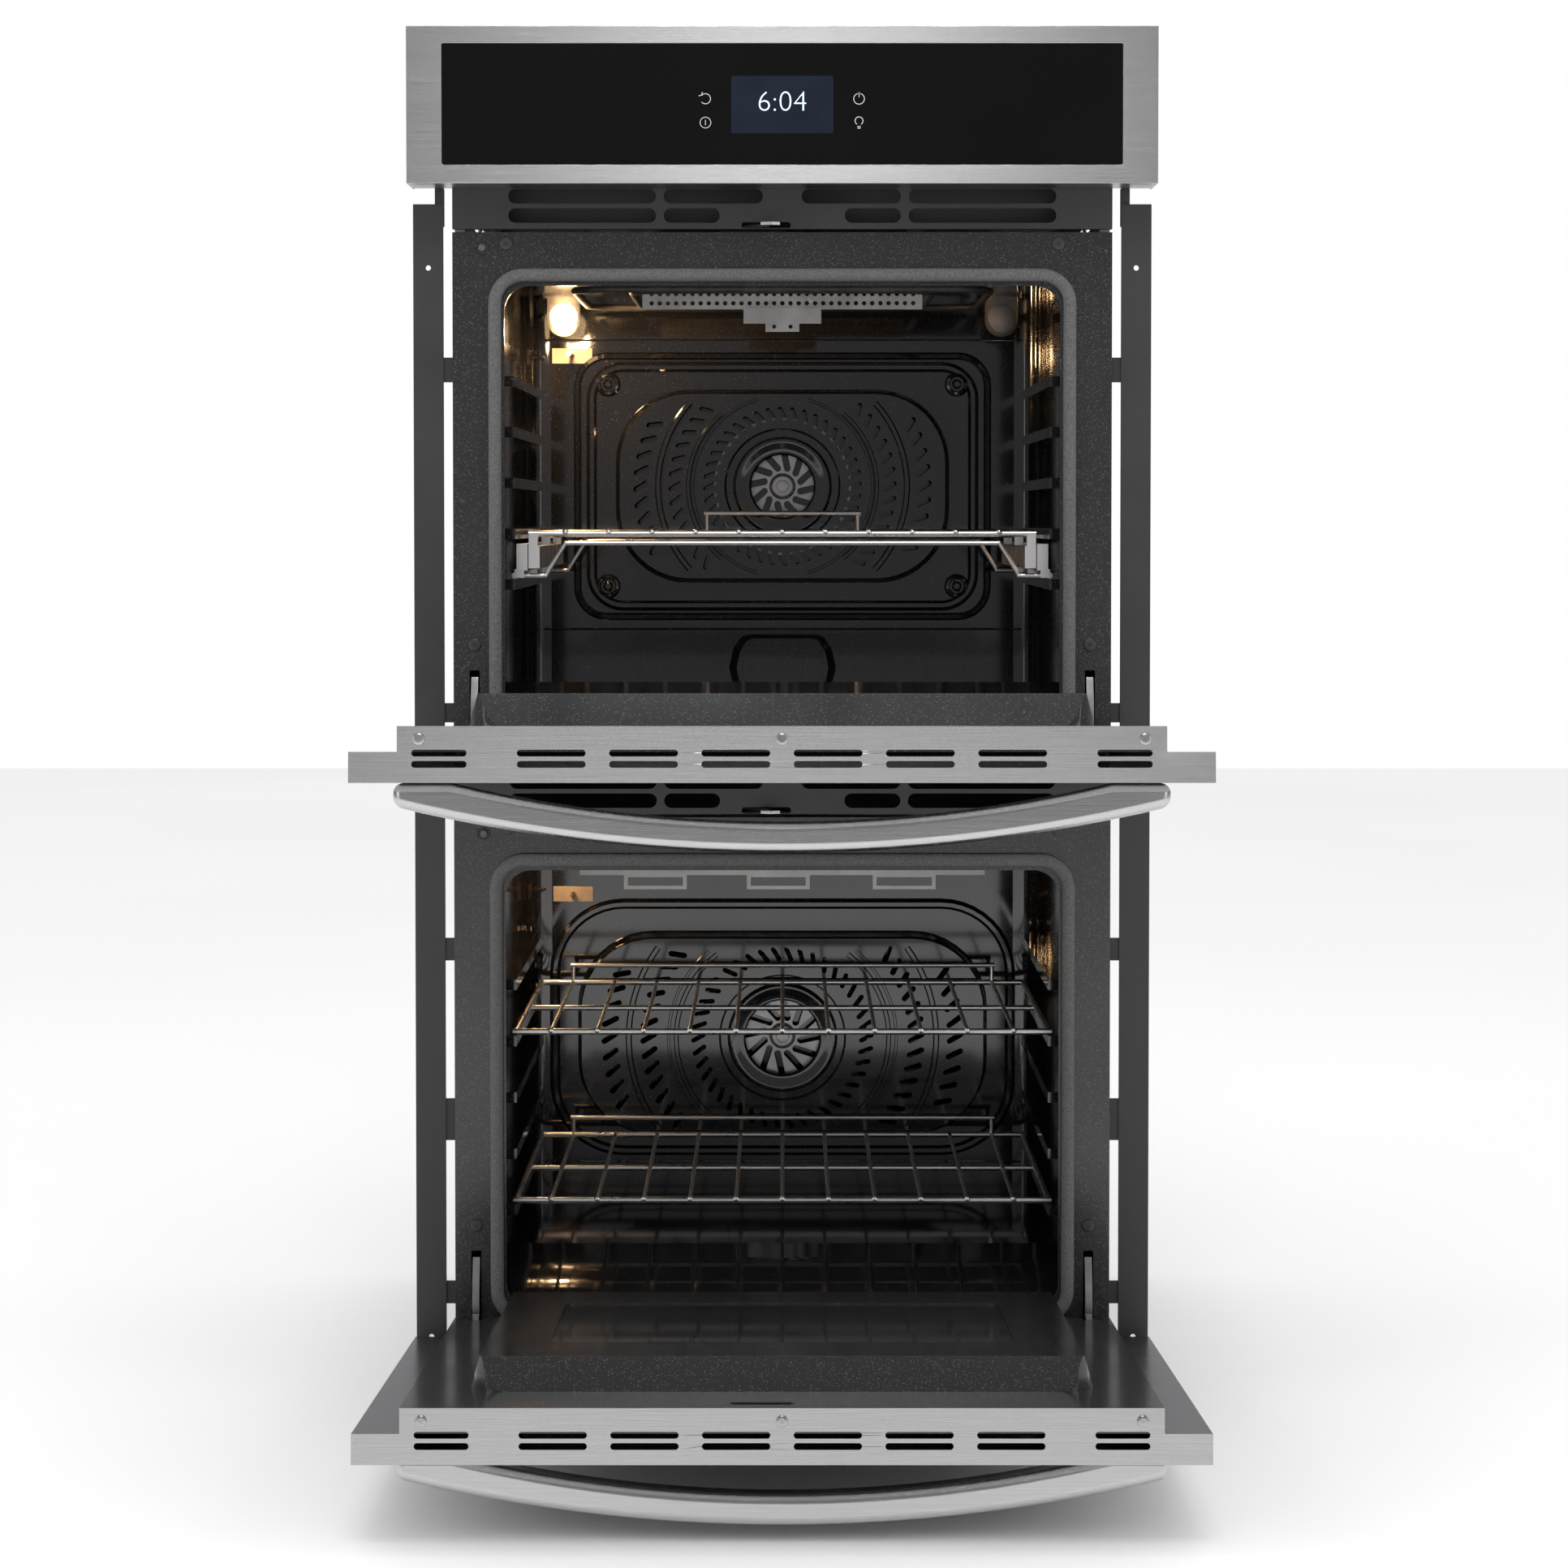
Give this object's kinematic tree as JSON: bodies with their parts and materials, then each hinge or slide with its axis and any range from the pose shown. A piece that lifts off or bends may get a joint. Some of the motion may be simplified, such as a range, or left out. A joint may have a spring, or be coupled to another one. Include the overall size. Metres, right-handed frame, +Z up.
{
  "type": "double wall oven",
  "caption": "Built-in wall oven: stacked cavities with drop-down bowed-handle doors shown open, pull-out wire racks, convection fans and a flat glass control panel on top.",
  "frame": {"origin": "middle of the base pan's underside, on the cabinet's face plane", "axes": "+Z up, -Y out of the oven's front, +X to the right as seen from the front"},
  "size_m": [0.686, 1.1317, 1.276],
  "materials": {
    "stainless": "brushed along the width, satin",
    "handle_steel": "brushed along its length",
    "galvanised": "galvanised sheet, faint spangle",
    "trim_paint": "matt dark grey paint",
    "frame_enamel": "speckled black porcelain enamel",
    "cavity_enamel": "glossy blue-black porcelain enamel with fine specks",
    "gasket_braid": "woven glass fibre braid",
    "rack_chrome": "bright plated wire",
    "plated_steel": "zinc plated",
    "fan_aluminium": "pressed aluminium, satin",
    "element_sheath": "dark oxidised tube",
    "insulation_wool": "mineral wool blanket",
    "control_glass": "black glass with a lit display",
    "door_glass": "dark tinted glass",
    "lamp_glass": "ribbed clear glass",
    "board_green": "circuit board",
    "switch_plastic": "black moulded plastic",
    "pin_plastic": "light grey moulded plastic",
    "latch_steel": "bare pressed steel",
    "motor_paint": "dark grey motor can"
  },
  "bodies": {
    "chassis": {"base_pan": "galvanised", "left_side_panel": "galvanised", "right_side_panel": "galvanised", "top_panel": "galvanised", "back_panel": "galvanised", "bottom_trim": "trim_paint", "left_side_trim": "trim_paint", "right_side_trim": "trim_paint", "upper_front_frame": "frame_enamel", "lower_front_frame": "frame_enamel", "upper_gasket": "gasket_braid", "lower_gasket": "gasket_braid", "upper_vent_trim": "trim_paint", "lower_vent_trim": "trim_paint", "upper_cavity": "cavity_enamel", "lower_cavity": "cavity_enamel", "insulation": "insulation_wool", "mid_duct": "galvanised", "upper_fan_cover": "cavity_enamel", "lower_fan_cover": "cavity_enamel", "fan_motors": "motor_paint", "ring_elements": "element_sheath", "broil_elements": "element_sheath", "broil_bracket": "latch_steel", "broil_reflector": "latch_steel", "bake_elements": "element_sheath", "oven_lamps": "lamp_glass", "temperature_sensors": "plated_steel", "upper_hinge_brackets": "plated_steel", "lower_hinge_brackets": "plated_steel", "switch_bodies": "switch_plastic", "glide_frame": "rack_chrome", "control_panel": "stainless", "control_glass": "control_glass", "control_board": "board_green", "blower_housing": "galvanised", "terminal_box": "galvanised", "frame_screws": "plated_steel"},
    "upper_door": {"upper_door_skin": "stainless", "upper_door_liner": "frame_enamel", "upper_door_window": "door_glass", "upper_door_inner_glass": "door_glass", "upper_door_handle": "handle_steel", "upper_door_hinge_pins": "plated_steel"},
    "lower_door": {"lower_door_skin": "stainless", "lower_door_liner": "frame_enamel", "lower_door_window": "door_glass", "lower_door_inner_glass": "door_glass", "lower_door_handle": "handle_steel", "lower_door_hinge_pins": "plated_steel"},
    "upper_rack": {"upper_rack": "rack_chrome"},
    "high_rack": {"high_rack": "rack_chrome"},
    "low_rack": {"low_rack": "rack_chrome"},
    "upper_fan": {"upper_fan": "fan_aluminium"},
    "lower_fan": {"lower_fan": "fan_aluminium"},
    "blower_wheel": {"blower_wheel": "fan_aluminium"},
    "upper_latch": {"upper_latch": "latch_steel"},
    "lower_latch": {"lower_latch": "latch_steel"},
    "upper_switch": {"upper_switch_pin": "pin_plastic"},
    "lower_switch": {"lower_switch_pin": "pin_plastic"}
  },
  "joints": [
    {"name": "upper_door_hinge", "type": "hinge", "parent": "chassis", "child": "upper_door", "pos_m": [0, -0.033, 0.6137], "axis": [-1, 0, 0], "range_deg": [0, 86]},
    {"name": "lower_door_hinge", "type": "hinge", "parent": "chassis", "child": "lower_door", "pos_m": [0, -0.033, 0.0702], "axis": [-1, 0, 0], "range_deg": [0, 86]},
    {"name": "upper_rack_slide", "type": "slide", "parent": "chassis", "child": "upper_rack", "axis": [0, 1, 0], "range_m": [-0.33, 0]},
    {"name": "high_rack_slide", "type": "slide", "parent": "chassis", "child": "high_rack", "axis": [0, 1, 0], "range_m": [-0.33, 0]},
    {"name": "low_rack_slide", "type": "slide", "parent": "chassis", "child": "low_rack", "axis": [0, 1, 0], "range_m": [-0.33, 0]},
    {"name": "upper_fan_spin", "type": "hinge", "parent": "chassis", "child": "upper_fan", "pos_m": [0, 0.446, 0.8613], "axis": [0, 1, 0], "continuous": true},
    {"name": "lower_fan_spin", "type": "hinge", "parent": "chassis", "child": "lower_fan", "pos_m": [0, 0.446, 0.2806], "axis": [0, 1, 0], "continuous": true},
    {"name": "blower_spin", "type": "hinge", "parent": "chassis", "child": "blower_wheel", "pos_m": [0, 0.33, 1.165], "axis": [1, 0, 0], "continuous": true},
    {"name": "upper_latch_swing", "type": "hinge", "parent": "chassis", "child": "upper_latch", "pos_m": [-0.038, 0.03, 1.099], "axis": [0, 0, 1], "range_deg": [0, 8]},
    {"name": "upper_switch_push", "type": "slide", "parent": "chassis", "child": "upper_switch", "axis": [0, 1, 0], "range_m": [0, 0.004], "stiffness_N_per_m": 150},
    {"name": "lower_latch_swing", "type": "hinge", "parent": "chassis", "child": "lower_latch", "pos_m": [-0.038, 0.03, 0.5555], "axis": [0, 0, 1], "range_deg": [0, 8]},
    {"name": "lower_switch_push", "type": "slide", "parent": "chassis", "child": "lower_switch", "axis": [0, 1, 0], "range_m": [0, 0.004], "stiffness_N_per_m": 150}
  ]
}
